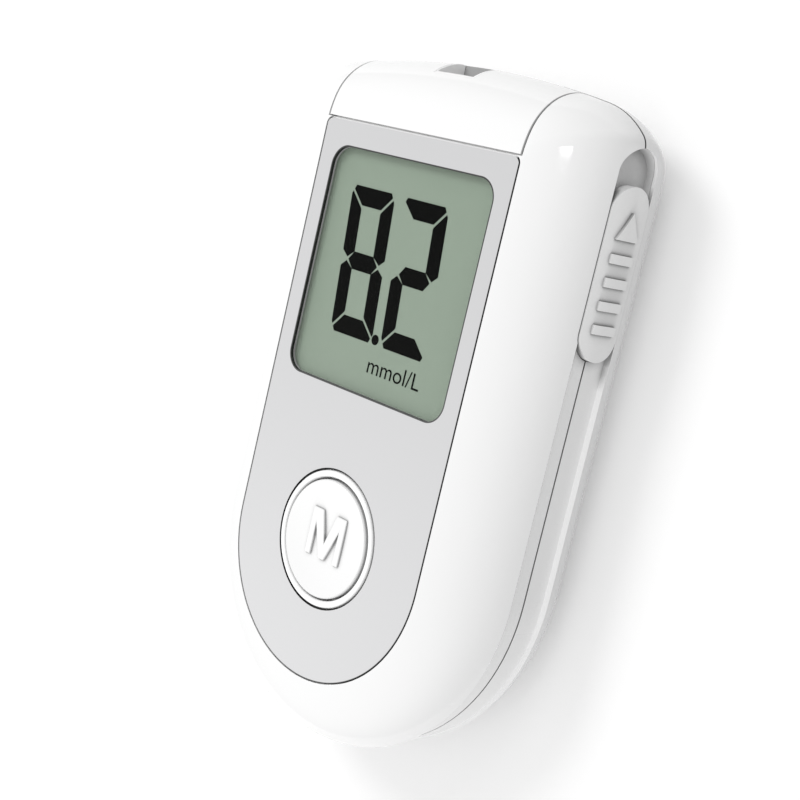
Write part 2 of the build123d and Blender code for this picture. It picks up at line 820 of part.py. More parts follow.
def make_strip_connector():
    body = block(
        (-connector_width / 2, connector_width / 2),
        (connector_back_y, connector_y + connector_depth / 2),
        (board_top, board_top + connector_height),
    )
    body -= strip_channel(connector_back_y - 1, end_y)
    for number in range(contact_count):
        x = (number - (contact_count - 1) / 2) * contact_pitch
        body -= block(
            (x - contact_width / 2 - 0.08, x + contact_width / 2 + 0.08),
            (connector_y - 0.5, connector_y + connector_depth / 2 - 1.0),
            (strip_height, board_top + connector_height + 1),
        )
    return body


def make_strip_contacts():
    contacts = []
    top = board_top + connector_height
    rest = strip_height + strip_slot / 2 - 0.35
    front = connector_y + connector_depth / 2 - 1.3
    for number in range(contact_count):
        x = (number - (contact_count - 1) / 2) * contact_pitch
        path = Polyline((connector_y - 0.4, top - 0.1), (front - 1.4, rest), (front, rest + 0.5))
        leaf = Plane.YZ * offset(path, contact_thickness / 2)
        leaf = leaf if isinstance(leaf, (Sketch, Face)) else make_face(leaf.edges())
        contacts.append(Pos(x, 0, 0) * extrude(leaf, contact_width / 2, both=True))
    return Compound(contacts)


def make_port_insert():
    """Grey throat of the port: four thin walls, a plate with the strip's slot and a flange behind the wall."""
    back = port_plate_y
    throat = port_block(0, back)
    throat -= block(
        (-port_width / 2 + port_wall, port_width / 2 - port_wall),
        (back + port_plate, end_y + 3),
        (port_low_z + port_wall, port_top_z - port_wall),
    )
    flange = block(
        (-port_width / 2 - port_flange, port_width / 2 + port_flange),
        (back, back + port_plate - port_clearance),
        (port_low_z + port_wall / 2, port_top_z),
    )
    throat &= front_form(port_clearance) + rear_form(port_clearance)
    throat += flange & inner_form(wall + port_clearance, roof + port_clearance, floor_thickness)
    return throat - strip_channel(back - 1, back + port_plate + 0.5)


# ---------------------------------------------------------------- strip ejector
def neck_slot(extra):
    """The hole in the track for the slider's neck, over its whole travel."""
    return block(
        (flange_back - 1, track_top + 1),
        (slider_y - neck_length / 2 - extra, slider_y + neck_length / 2 + slider_travel + extra),
        (slot_height - neck_width / 2 - extra, slot_height + neck_width / 2 + extra),
    )


def make_slider_track():
    """A cup with a hollowed floor, pushed into the slot from inside until its flange meets the wall."""
    hollow = obround(slot_length, slot_width, slot_y, track_top - track_hollow, half_width + 2)
    hollow &= (
        Pos(track_top + track_hollow_radius - track_hollow, slot_y, slot_height)
        * Rot(90, 0, 0)
        * Cylinder(track_hollow_radius, slot_length + 2)
    )
    hollow += obround(slot_length, slot_width, slot_y, track_top, half_width + 2)
    grown = 2 * track_overlap
    flange = obround(slot_length + grown, slot_width + grown, slot_y, flange_back, flange_top)
    flange &= inner_form(wall + track_clearance, roof + track_clearance, floor_thickness)
    return track_space(0) + flange - hollow - neck_slot(neck_clearance)


def make_ejector_slider():
    """The thumb slider follows the body's side. Its ribs and its arrow stand the same height over it all along."""
    width = slot_width - 2 * slider_clearance
    low = track_top + slider_float
    button = obround(slider_length, width, slider_y, low, half_width + 2)
    button &= front_form(-slider_lift) + rear_form(-slider_lift)
    across = (slot_height - rib_length / 2, slot_height + rib_length / 2)
    first_rib = slider_low_y + rib_border
    last_rib = first_rib + (rib_count - 1) * rib_pitch
    arrow_low = last_rib + rib_width / 2 + arrow_gap
    arrow = Plane.YZ * make_face(
        Polyline((arrow_low, across[0]), (arrow_low, across[1]), (arrow_low + arrow_length, slot_height), close=True)
    )
    marks = Pos(low + 0.5, 0, 0) * extrude(arrow, body_width, dir=(1, 0, 0))
    for number in range(rib_count):
        y = first_rib + number * rib_pitch
        marks += block((low + 0.5, half_width + 2), (y - rib_width / 2, y + rib_width / 2), across)
    rise = slider_lift + rib_rise
    button += marks & (front_form(-rise) + rear_form(-rise))
    neck = block(
        (flange_back - carriage_gap - carriage_width * 0.4, low + 0.5),
        (slider_y - neck_length / 2, slider_y + neck_length / 2),
        (slot_height - neck_width / 2, slot_height + neck_width / 2),
    )
    return button + neck


def make_ejector_carriage():
    low_x, high_x = carriage_x - carriage_width / 2, carriage_x + carriage_width / 2
    low_y, high_y = slider_y - carriage_length / 2, slider_y + carriage_length / 2
    low_z, high_z = slot_height - carriage_height / 2, slot_height + carriage_height / 2
    body = block((low_x, high_x), (low_y, high_y), (low_z, high_z))
    body -= block(
        (high_x - carriage_width * 0.4, high_x + 1),
        (slider_y - neck_length / 2, slider_y + neck_length / 2),
        (slot_height - neck_width / 2, slot_height + neck_width / 2),
    )
    arm_low = strip_height - arm_height / 2 + 0.1
    arm_high = strip_height + arm_height / 2 - 0.1
    body += block(
        (-finger_width / 2, low_x + 0.5),
        (arm_y - arm_width / 2, arm_y + arm_width / 2),
        (arm_low, arm_high),
    )
    body += block(
        (-finger_width / 2, finger_width / 2),
        (arm_y, connector_back_y - finger_gap),
        (arm_low, arm_high),
    )
    return body


def make_ejector_spring():
    pitch = (spring_length - spring_wire - 0.1) / spring_turns
    helix = Helix(pitch, pitch * spring_turns, spring_radius - spring_wire / 2)
    section = RegularPolygon(spring_wire / 2, 6)
    wire = sweep(Plane(helix @ 0, z_dir=helix % 0) * section, path=helix)
    return Pos(carriage_x, spring_y + spring_wire / 2 + 0.05, slot_height) * Rot(-90, 0, 0) * wire


# ---------------------------------------------------------------- battery
def make_battery_door():
    door = extrude(door_plan(0), door_thickness, dir=(0, 0, 1))
    slope = door_thickness * sin(radians(door_open_angle)) / cos(radians(door_open_angle))
    wedge = Plane.YZ * make_face(
        Polyline((hinge_y, door_thickness), (hinge_y - slope, 0), (hinge_y + 1, -0.1), (hinge_y + 1, 2), close=True)
    )
    door -= Pos(-door_width, 0, 0) * extrude(wedge, 2 * door_width, dir=(1, 0, 0))
    for side in (-1, 1):
        x = side * hinge_tab_spacing / 2
        door += block(
            (x - hinge_tab_width / 2, x + hinge_tab_width / 2),
            (hinge_y - 3, hinge_y + hinge_tab_reach),
            (door_thickness, door_thickness + hinge_tab_thickness),
        )
    notch = Pos(0, cell_centre_y - door_length / 2, 0) * Cylinder(4.0, 1.2)
    return door - notch


def make_coin_cell():
    low = door_thickness + 0.3
    can = post(0, cell_centre_y, cell_radius, low, low + cell_height - 0.4)
    can = chamfer(can.edges().group_by(Axis.Z)[0], 0.4)
    return can + post(0, cell_centre_y, cell_radius - 1.2, low + cell_height - 0.4, low + cell_height)


def make_battery_contact_positive():
    """A leaf that presses on the cell's rim from the side, with a leg up through the well's roof to the board."""
    x = cell_radius + contact_bow
    low, high = door_thickness + 0.8, well_top
    ends = (cell_centre_y - contact_strip / 2, cell_centre_y + contact_strip / 2)
    leaf = block((x, x + contact_spring), ends, (low, board_bottom))
    dimple = Pos(x, cell_centre_y, (low + high) / 2) * Rot(90, 0, 0) * Cylinder(contact_bow, contact_strip * 0.6)
    return leaf + (dimple & block((0, x + contact_spring / 2), ends, (low, high)))


def make_battery_contact_negative():
    """A leaf under the well's roof, with its leg up through the roof to the board."""
    low = well_top - contact_spring
    back = cell_centre_y - contact_leg
    leaf = block((-contact_strip / 2, contact_strip / 2), (back, cell_centre_y + contact_strip), (low, well_top))
    leg = block((-contact_strip / 2, contact_strip / 2), (back, back + contact_spring), (low, board_bottom))
    return leaf + leg


# ---------------------------------------------------------------- screws
def make_screw(x, y, head_low, length):
    screw = post(0, 0, screw_head_radius, 0, screw_head_height)
    screw = chamfer(screw.edges().group_by(Axis.Z)[0], 0.35)
    screw += post(0, 0, screw_radius, screw_head_height, screw_head_height + length)
    screw -= block((-1.2, 1.2), (-0.2, 0.2), (-1, 0.5)) + block((-0.2, 0.2), (-1.2, 1.2), (-1, 0.5))
    return Pos(x, y, head_low) * screw


def make_housing_screws():
    return Compound([make_screw(x, y, screw_sink, screw_length - 1.5) for x, y in screw_places()])


def make_board_screws():
    head = board_bottom - screw_head_height
    length = board_thickness + board_screw_length - 1
    return Compound([make_screw(x, y, head, length) for x, y in board_screw_places()])


nodes = {
    "front_housing": make_front_housing,
    "rear_housing": make_rear_housing,
    "top_cap": make_top_cap,
    "face_panel": make_face_panel,
    "panel_adhesive": make_panel_adhesive,
    "display_gasket": make_display_gasket,
    "display_lens": make_display_lens,
    "lcd_glass": make_lcd_glass,
    "lcd_reflector": make_lcd_reflector,
    "lcd_holder": make_lcd_holder,
    "zebra_connector": make_zebra_connector,
    "button_ring": make_button_ring,
    "memory_button": make_memory_button,
    "switch_body": make_switch_body,
    "switch_plunger": make_switch_plunger,
    "circuit_board": make_circuit_board,
    "microcontroller": make_microcontroller,
    "chip_parts": make_chip_parts,
    "crystal": make_crystal,
    "buzzer": make_buzzer,
    "strip_connector": make_strip_connector,
    "strip_contacts": make_strip_contacts,
    "port_insert": make_port_insert,
    "slider_track": make_slider_track,
    "ejector_slider": make_ejector_slider,
    "ejector_carriage": make_ejector_carriage,
    "ejector_spring": make_ejector_spring,
    "battery_door": make_battery_door,
    "coin_cell": make_coin_cell,
    "battery_contact_positive": make_battery_contact_positive,
    "battery_contact_negative": make_battery_contact_negative,
    "housing_screws": make_housing_screws,
    "board_screws": make_board_screws,
}

os.makedirs("parts", exist_ok=True)
for name, make in nodes.items():
    shape = make()
    export_step(shape, f"parts/{name}.step")
    print(name, round(shape.volume, 1), len(shape.solids()))
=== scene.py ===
import bpy
import json
import numpy as np
from mathutils import Matrix, Vector


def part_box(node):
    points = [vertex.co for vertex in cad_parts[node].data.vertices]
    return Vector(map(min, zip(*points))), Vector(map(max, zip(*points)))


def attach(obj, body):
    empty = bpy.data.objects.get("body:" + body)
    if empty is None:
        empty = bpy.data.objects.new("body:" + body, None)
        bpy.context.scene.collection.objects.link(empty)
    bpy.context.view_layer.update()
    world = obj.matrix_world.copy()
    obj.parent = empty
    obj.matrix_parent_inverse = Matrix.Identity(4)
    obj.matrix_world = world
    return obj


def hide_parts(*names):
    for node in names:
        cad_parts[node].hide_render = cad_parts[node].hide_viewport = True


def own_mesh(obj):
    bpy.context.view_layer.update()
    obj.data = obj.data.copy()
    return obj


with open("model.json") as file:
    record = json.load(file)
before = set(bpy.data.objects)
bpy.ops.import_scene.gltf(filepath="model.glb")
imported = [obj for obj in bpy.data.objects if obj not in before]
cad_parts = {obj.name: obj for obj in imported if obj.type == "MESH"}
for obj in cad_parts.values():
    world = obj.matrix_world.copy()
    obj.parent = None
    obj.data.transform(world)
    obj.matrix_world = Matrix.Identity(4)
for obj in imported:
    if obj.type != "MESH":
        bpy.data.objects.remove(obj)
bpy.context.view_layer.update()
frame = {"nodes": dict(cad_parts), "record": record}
nodes = frame["nodes"]
mm = 0.001

# what several pieces share, all read from the frame, in metres
panelLow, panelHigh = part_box("face_panel")
gasketLow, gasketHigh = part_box("display_gasket")
bodyLow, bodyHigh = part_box("rear_housing")
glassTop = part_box("lcd_glass")[1].z    # the lens rests on it, and the figures lie just above it
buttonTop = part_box("memory_button")[1].z
window = (gasketLow + gasketHigh) / 2  # middle of the display window


def srgb(hexColour):
    # sRGB hex to the linear colour that the shader takes
    values = np.array([int(hexColour[i:i + 2], 16) for i in (1, 3, 5)]) / 255
    linear = np.where(values <= 0.04045, values / 12.92, ((values + 0.055) / 1.055) ** 2.4)
    return (*linear.tolist(), 1.0)


def addNode(tree, kind, settings=None, **inputs):
    # one shader node: settings are its own properties, inputs are values or sockets to link
    node = tree.nodes.new(kind)
    for name, value in (settings or {}).items():
        setattr(node, name, value)
    for name, value in inputs.items():
        key = int(name[1:]) if name[0] == "i" and name[1:].isdigit() else name.replace("_", " ")
        socket = node.inputs[key]
        if isinstance(value, bpy.types.NodeSocket):
            tree.links.new(value, socket)
        else:
            socket.default_value = value
    return node


def newMaterial(name, roughness, colour, ior=1.5, **inputs):
    material = bpy.data.materials.new(name)
    material.use_nodes = True
    tree = material.node_tree
    shader = tree.nodes["Principled BSDF"]
    shader.inputs["Base Color"].default_value = srgb(colour)
    shader.inputs["Roughness"].default_value = roughness
    shader.inputs["IOR"].default_value = ior
    for key, value in inputs.items():
        shader.inputs[key.replace("_", " ")].default_value = value
    return material, tree, shader


def placeOf(tree):
    # where a point of the piece lies: its X, Y and Z in metres
    own = addNode(tree, "ShaderNodeTexCoord").outputs["Object"]
    return addNode(tree, "ShaderNodeSeparateXYZ", Vector=own).outputs


def grain(tree, size, detail=2.0):
    # uneven height or tint, from 0 to 1, whose lumps are about size metres across
    own = addNode(tree, "ShaderNodeTexCoord").outputs["Object"]
    noise = addNode(tree, "ShaderNodeTexNoise", Vector=own, Scale=0.5 / size, Detail=detail)
    return noise.outputs["Fac"]


def mouldGrain(tree, shader, size, depth, detail=2.0):
    # a grain that the mould leaves in the surface, depth metres deep; its height comes back
    height = grain(tree, size, detail)
    bump = addNode(tree, "ShaderNodeBump", Height=height, Distance=depth, Strength=1.0)
    tree.links.new(bump.outputs["Normal"], shader.inputs["Normal"])
    return height


def maskWhere(tree, *edges):
    # 1 where every value is above or below its edge and 0 elsewhere, with soft borders;
    # each step runs up to the mask so far, which multiplies them
    mask = 1.0
    for value, edge, side, soft in edges:
        reach = soft if side == "above" else -soft
        step = addNode(tree, "ShaderNodeMapRange", i0=value, i1=edge - reach, i2=edge + reach, i4=mask)
        mask = step.outputs[0]
    return mask


def coated(tree, colour, *coats):
    # a colour under coats of others: each coat is its mask and the colour that shows where that is 1
    for mask, coat in coats:
        colour = addNode(tree, "ShaderNodeMix", {"data_type": "RGBA"}, i0=mask, i6=colour, i7=coat).outputs[2]
    return colour


# how open a place is to its surroundings, from 0 to 1, where the painted soft shade is full and where it ends
shadeRange = {"full": 0.5, "none": 0.97, "samples": 16}


def paintedCornerShade(tree, colour, reach, darkest, local):
    # painted shade: the colour is darkened in inner corners, up to reach metres from them; local counts one
    # piece alone
    settings = {"samples": shadeRange["samples"], "only_local": local}
    openness = addNode(tree, "ShaderNodeAmbientOcclusion", settings, Distance=reach).outputs["AO"]
    ends = {"i1": shadeRange["full"], "i2": shadeRange["none"], "i3": darkest, "i4": 1.0}
    share = addNode(tree, "ShaderNodeMapRange", i0=openness, **ends).outputs[0]
    multiply = {"data_type": "RGBA", "blend_type": "MULTIPLY"}
    return addNode(tree, "ShaderNodeMix", multiply, i0=1.0, i6=colour, i7=share).outputs[2]


def planReach(tree, place, centreY):
    # distance from the middle line of a plan that is straight above centreY and round below it
    below = addNode(tree, "ShaderNodeMath", {"operation": "SUBTRACT"}, i0=place["Y"], i1=centreY)
    below = addNode(tree, "ShaderNodeMath", {"operation": "MINIMUM"}, i0=below.outputs[0], i1=0.0)
    flat = addNode(tree, "ShaderNodeCombineXYZ", X=place["X"], Y=below.outputs[0])
    return addNode(tree, "ShaderNodeVectorMath", {"operation": "LENGTH"}, i0=flat.outputs[0]).outputs["Value"]


# ABS, injection moulded in a polished mould: even white, glossy, with the faintest waviness
housing = {
    "white": "#F6F6F6", "roughness": 0.06, "ior": 1.53,
    "ripple": 6 * mm, "rippleDepth": 0.004 * mm,
    # grip band: its floor is spark eroded, which leaves it matte
    "bandGrey": "#F6F6F6", "bandRoughness": 0.6, "bandGrain": 0.25 * mm, "bandGrainDepth": 0.02 * mm,
    "bandLow": 5.8 * mm, "bandHigh": 11.4 * mm, "bandInset": 0.78 * mm, "bandEnd": 16.0 * mm,
    "bandSoft": 0.06 * mm,
    # groove between the two housings, painted darker grey as painted shade
    "grooveShadeGrey": "#6E6E6E", "grooveLow": 9.19 * mm, "grooveHigh": 9.43 * mm, "grooveSoft": 0.01 * mm,
    # walls of the cap that face the seams, painted grey as painted shade
    "seamShadeGrey": "#9A9A9A", "seamWall": 0.14 * mm, "seamSoft": 0.01 * mm,
    # painted soft shade on the walls round the slider
    "slotShade": 0.4, "slotReach": 1.6 * mm, "slotMargin": 0.6 * mm, "slotDrop": 1.0 * mm,
    "slotSide": 0.06 * mm, "slotFoot": 1.0 * mm, "slotSoft": 0.4 * mm,
}


def whiteAbs(name):
    h = housing
    material, tree, shader = newMaterial(name, h["roughness"], h["white"], h["ior"])
    mouldGrain(tree, shader, h["ripple"], h["rippleDepth"], 1.0)
    return material, tree, shader


def housingAbs():
    # white, with the matte grip band, painted shade in the groove and painted shade round the slider
    h = housing
    name = "White ABS gloss, matte grip band"
    material, tree, shader = newMaterial(name, h["roughness"], h["white"], h["ior"])
    place = placeOf(tree)
    halfWidth = (bodyHigh.x - bodyLow.x) / 2
    reach = planReach(tree, place, bodyLow.y + halfWidth)
    band = maskWhere(
        tree,
        (reach, halfWidth - h["bandInset"], "below", h["bandSoft"]),
        (place["Z"], h["bandLow"], "above", h["bandSoft"]),
        (place["Z"], h["bandHigh"], "below", h["bandSoft"]),
        (place["Y"], h["bandEnd"], "below", h["bandSoft"]),
    )
    # painted shade in the groove between the two housings
    grooveShade = maskWhere(
        tree,
        (place["Z"], h["grooveLow"], "above", h["grooveSoft"]),
        (place["Z"], h["grooveHigh"], "below", h["grooveSoft"]),
    )
    trackLow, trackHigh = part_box("slider_track")
    slot = maskWhere(
        tree,
        (place["X"], trackLow.x, "above", h["slotSide"]),
        (place["Y"], trackLow.y - h["slotMargin"], "above", h["slotFoot"]),
        (place["Y"], trackHigh.y + h["slotMargin"], "below", h["slotSoft"]),
        (place["Z"], trackLow.z - h["slotDrop"], "above", h["slotSoft"]),
    )
    colour = coated(tree, srgb(h["white"]), (band, srgb(h["bandGrey"])), (grooveShade, srgb(h["grooveShadeGrey"])))
    # painted shade on the walls round the slider, where the slot's mask is 1
    paintedShadeColour = paintedCornerShade(tree, colour, h["slotReach"], h["slotShade"], False)
    tree.links.new(coated(tree, colour, (slot, paintedShadeColour)), shader.inputs["Base Color"])
    rough = addNode(tree, "ShaderNodeMapRange", i0=band, i3=h["roughness"], i4=h["bandRoughness"])
    tree.links.new(rough.outputs[0], shader.inputs["Roughness"])
    # waves on the gloss and fine grain on the band, whose depth is a share of the waves'
    share, fineGrain = h["bandGrainDepth"] / h["rippleDepth"], grain(tree, h["bandGrain"])
    fine = addNode(tree, "ShaderNodeMath", {"operation": "MULTIPLY"}, i0=fineGrain, i1=share)
    height = addNode(tree, "ShaderNodeMix", i0=band, i2=grain(tree, h["ripple"], 1.0), i3=fine.outputs[0])
    bump = addNode(tree, "ShaderNodeBump", Height=height.outputs[0], Distance=h["rippleDepth"], Strength=1.0)
    tree.links.new(bump.outputs["Normal"], shader.inputs["Normal"])
    return material


def capAbs():
    # white, with painted shade on the two walls that face the seams
    h = housing
    material, tree, shader = whiteAbs("White ABS gloss, cap")
    out = addNode(tree, "ShaderNodeMath", {"operation": "ABSOLUTE"}, i0=placeOf(tree)["X"]).outputs[0]
    seamShade = maskWhere(tree, (out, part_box("top_cap")[1].x - h["seamWall"], "above", h["seamSoft"]))
    tree.links.new(coated(tree, srgb(h["white"]), (seamShade, srgb(h["seamShadeGrey"]))), shader.inputs["Base Color"])
    return material


# spark-eroded ABS: matte, with a real grain of about a tenth of a millimetre, drawn coarser so that it shows
slider = {
    "name": "Light grey ABS, spark eroded", "colour": "#F8F8F8", "roughness": 0.55, "ior": 1.53,
    "grain": 0.22 * mm, "grainDepth": 0.02 * mm, "speckle": 0.03,
    # painted shade darkens it next to its ribs and arrow and along the slot's walls
    "shadeReach": 1.2 * mm, "shade": 0.22, "local": False,   # the slot's walls shade it too
}
track = {
    "name": "Grey ABS, spark eroded", "colour": "#DCDCDC", "roughness": 0.65, "ior": 1.53,
    "grain": 0.3 * mm, "grainDepth": 0.04 * mm, "speckle": 0.08,
    # painted shade darkens it towards its own walls
    "shadeReach": 1.5 * mm, "shade": 0.6, "local": True,
}


def texturedAbs(finish):
    # the hollows of the grain are darker than its crests, by the speckle's share of full white
    material, tree, shader = newMaterial(finish["name"], finish["roughness"], finish["colour"], finish["ior"])
    height = mouldGrain(tree, shader, finish["grain"], finish["grainDepth"], 3.0)
    crest = srgb(finish["colour"])
    hollow = tuple(max(part - finish["speckle"], 0) for part in crest[:3]) + (1.0,)
    speckled = coated(tree, hollow, (height, crest))
    # painted shade in its inner corners, as the finish gives
    paintedShadeColour = paintedCornerShade(tree, speckled, finish["shadeReach"], finish["shade"], finish["local"])
    tree.links.new(paintedShadeColour, shader.inputs["Base Color"])
    return material


# printed polycarbonate film: satin light grey, nearly flat; its cut edges are painted nearly black, a painted
# shade for the gaps round it
film = {
    "colour": "#CBCBCC", "edge": "#0C0C0C", "roughness": 0.42, "ior": 1.58,
    "grain": 0.4 * mm, "grainDepth": 0.002 * mm,
    "printDepth": 0.0225 * mm, "printSoft": 0.0075 * mm,   # how far the print reaches down at the cuts
    # thin dark painted shade along its cuts, round the window and along the outer edge
    "line": "#2E2E2E", "windowShadeLine": 0.17 * mm, "outerShadeLine": 0.07 * mm, "lineSoft": 0.02 * mm,
    "windowHalf": (14.0 * mm, 14.2 * mm), "windowRadius": 2.5 * mm,
    # its straight top cut, beside the cap, is left grey, without the painted black shade
    "topCut": 0.1 * mm, "topSoft": 0.01 * mm,
}


def windowDistance(tree, place, f):
    # distance from the rectangle that the window's rounded outline runs round at its corner radius
    none, centre = (0, 0, 0), (window.x, window.y, 0)
    inner = tuple(half - f["windowRadius"] for half in f["windowHalf"]) + (0,)
    off = addNode(tree, "ShaderNodeCombineXYZ", X=place["X"], Y=place["Y"]).outputs[0]
    steps = [("SUBTRACT", centre), ("ABSOLUTE", none), ("SUBTRACT", inner), ("MAXIMUM", none)]
    for operation, other in steps:
        off = addNode(tree, "ShaderNodeVectorMath", {"operation": operation}, i0=off, i1=other).outputs[0]
    return addNode(tree, "ShaderNodeVectorMath", {"operation": "LENGTH"}, i0=off).outputs["Value"]


def panelFilm():
    f = film
    material, tree, shader = newMaterial("Printed film light grey", f["roughness"], f["colour"], f["ior"])
    place = placeOf(tree)
    halfWidth = (panelHigh.x - panelLow.x) / 2
    reach = planReach(tree, place, panelLow.y + halfWidth)
    off = windowDistance(tree, place, f)
    # painted shade along the window's cut and along the outer edge
    windowShadeLine = maskWhere(tree, (off, f["windowRadius"] + f["windowShadeLine"], "below", f["lineSoft"]))
    outerShadeLine = maskWhere(tree, (reach, halfWidth - f["outerShadeLine"], "above", f["lineSoft"]))
    colour = coated(tree, srgb(f["colour"]), (windowShadeLine, srgb(f["line"])), (outerShadeLine, srgb(f["line"])))
    # the grey shows on the upper face and on the top cut; the other cuts carry the painted black shade
    upper = maskWhere(tree, (place["Z"], panelHigh.z - f["printDepth"], "above", f["printSoft"]))
    end = maskWhere(tree, (place["Y"], panelHigh.y - f["topCut"], "above", f["topSoft"]))
    unshadedGrey = addNode(tree, "ShaderNodeMath", {"operation": "MAXIMUM"}, i0=upper, i1=end).outputs[0]
    tree.links.new(coated(tree, srgb(f["edge"]), (unshadedGrey, colour)), shader.inputs["Base Color"])
    mouldGrain(tree, shader, f["grain"], f["grainDepth"])
    return material


# double-sided acrylic tape under the film: matte black, whose black is also a painted shade in the gaps round
# the film; its top end is painted light grey, a painted light in the gap beside the cap
tape = {
    "black": "#0C0C0C", "liner": "#E8E8E8", "roughness": 0.7, "end": 0.01 * mm,
    "grain": 0.3 * mm, "grainDepth": 0.01 * mm,
}


def panelTape():
    t = tape
    material, tree, shader = newMaterial("Black tape", t["roughness"], t["black"])
    # painted light on the tape's top end
    end = maskWhere(tree, (placeOf(tree)["Y"], panelHigh.y - t["end"], "above", t["end"]))
    tree.links.new(coated(tree, srgb(t["black"]), (end, srgb(t["liner"]))), shader.inputs["Base Color"])
    mouldGrain(tree, shader, t["grain"], t["grainDepth"])
    return material


# reflective liquid crystal glass: grey-green, a little uneven, satin from its polariser
glass = {"middle": "#94A493", "dark": "#91A190", "light": "#97A796", "roughness": 0.5, "cloud": 9 * mm}


def displayGlass():
    g = glass
    material, tree, shader = newMaterial("Liquid crystal grey green", g["roughness"], g["middle"])
    cloud = grain(tree, g["cloud"], 1.0)
    tree.links.new(coated(tree, srgb(g["dark"]), (cloud, srgb(g["light"]))), shader.inputs["Base Color"])
    return material


# hard-coated acrylic, moulded clear: it shows only as a faint gloss
lens = {
    "tint": "#101010", "roughness": 0.08, "ior": 1.49, "opacity": 0.05,
    "wave": 12 * mm, "waveDepth": 0.002 * mm,
}


def clearLens():
    name, opacity = "Clear acrylic", lens["opacity"]
    material, tree, shader = newMaterial(name, lens["roughness"], lens["tint"], lens["ior"], Alpha=opacity)
    mouldGrain(tree, shader, lens["wave"], lens["waveDepth"], 0.0)
    return material


# ABS of the button, moulded satin, with painted soft shade round its raised letter
button = {
    "white": "#EEEEEE", "roughness": 0.42, "ior": 1.53, "grain": 4 * mm, "grainDepth": 0.003 * mm,
    "shadeReach": 0.7 * mm, "shade": 0.42,
}


def buttonAbs():
    b = button
    material, tree, shader = newMaterial("White ABS soft satin", b["roughness"], b["white"], b["ior"])
    paintedShadeColour = paintedCornerShade(tree, srgb(b["white"]), b["shadeReach"], b["shade"], False)
    tree.links.new(paintedShadeColour, shader.inputs["Base Color"])
    mouldGrain(tree, shader, b["grain"], b["grainDepth"])
    return material


# ABS of the strip port's throat, moulded satin: one grey ABS, with light walls as painted light and a grey
# floor as painted shade
throat = {
    "wall": "#F8F8F8", "floor": "#A2A2A2", "roughness": 0.5, "ior": 1.53,
    "floorHeight": 0.25 * mm, "floorSkin": 0.1 * mm, "floorSoft": 0.02 * mm,
    "grain": 0.4 * mm, "grainDepth": 0.006 * mm,
}


def throatAbs():
    t = throat
    material, tree, shader = newMaterial("Grey ABS satin", t["roughness"], t["wall"], t["ior"])
    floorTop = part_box("port_insert")[0].z + t["floorHeight"] + t["floorSkin"]
    # painted light on the walls above the floor, painted shade on the floor below
    wall = maskWhere(tree, (placeOf(tree)["Z"], floorTop, "above", t["floorSoft"]))
    tree.links.new(coated(tree, srgb(t["floor"]), (wall, srgb(t["wall"]))), shader.inputs["Base Color"])
    mouldGrain(tree, shader, t["grain"], t["grainDepth"])
    return material


# finishes of one colour: name, colour, roughness, size and depth of the grain, and 1 for a metal
evenFinishes = {
    # die-cut foam: dull and soft
    "display_gasket": ("Grey foam gasket", "#A6A3A6", 0.8, 0.3 * mm, 0.02 * mm, 0.0),
    # moulded satin: a soft, broad sheen
    "button_ring": ("White ABS satin", "#FAFAFA", 0.35, 4 * mm, 0.003 * mm, 0.0),
    # plated sheet and wire: a warm gleam
    "steel": ("Nickel-plated steel", "#B9B6B0", 0.3, 0.5 * mm, 0.002 * mm, 1.0),
    "contacts": ("Gold-plated bronze", "#D9B25F", 0.28, 0.4 * mm, 0.002 * mm, 1.0),
    # printed and cured lacquer: dark green, half gloss
    "board": ("Green solder mask on glass epoxy", "#12562F", 0.35, 0.5 * mm, 0.006 * mm, 0.0),
    # transfer moulded, full of fine filler: dull black
    "chips": ("Moulded epoxy, black", "#17171A", 0.55, 0.15 * mm, 0.008 * mm, 0.0),
    # moulded in an eroded mould: half matte
    "inner_black": ("Black nylon", "#1B1B1D", 0.5, 0.3 * mm, 0.006 * mm, 0.0),
    "holder": ("Natural ABS", "#D8D6CC", 0.5, 0.4 * mm, 0.006 * mm, 0.0),
    # cast and sliced: rubbery dark grey
    "zebra": ("Striped silicone", "#4A4A50", 0.6, 0.3 * mm, 0.006 * mm, 0.0),
    # moulded and waxy: milky white
    "carriage": ("Natural acetal", "#E6E4DC", 0.4, 0.4 * mm, 0.004 * mm, 0.0),
}


def evenFinish(name, colour, roughness, size, depth, metallic):
    material, tree, shader = newMaterial(name, roughness, colour, Metallic=metallic)
    mouldGrain(tree, shader, size, depth)
    return material


whiteHousing = housingAbs()
finishes = {
    "front_housing": whiteHousing, "rear_housing": whiteHousing, "top_cap": capAbs(),
    "battery_door": whiteAbs("White ABS gloss")[0], "face_panel": panelFilm(), "panel_adhesive": panelTape(),
    "lcd_glass": displayGlass(), "display_lens": clearLens(), "memory_button": buttonAbs(),
    "ejector_slider": texturedAbs(slider), "slider_track": texturedAbs(track), "port_insert": throatAbs(),
}
for name, values in evenFinishes.items():
    finishes[name] = evenFinish(*values)
# a node has a finish of its own or takes the one of its slot in the record
slotOf = {subpart["node"]: subpart["material_slot"] for subpart in frame["record"]["subparts"]}
for name, obj in nodes.items():
    finish = finishes.get(name) or finishes[slotOf[name]]
    for slot in obj.material_slots:
        slot.material = finish
print("materials on the frame")


def meshPiece(name, vertices, faces, material, body, smooth=False):
    mesh = bpy.data.meshes.new(name)
    mesh.from_pydata(np.asarray(vertices).tolist(), [], [list(face) for face in faces])
    mesh.validate()
    obj = bpy.data.objects.new(name, mesh)
    bpy.context.scene.collection.objects.link(obj)
    mesh.materials.append(material)
    mesh.shade_smooth() if smooth else mesh.shade_flat()
    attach(obj, body)
    return obj


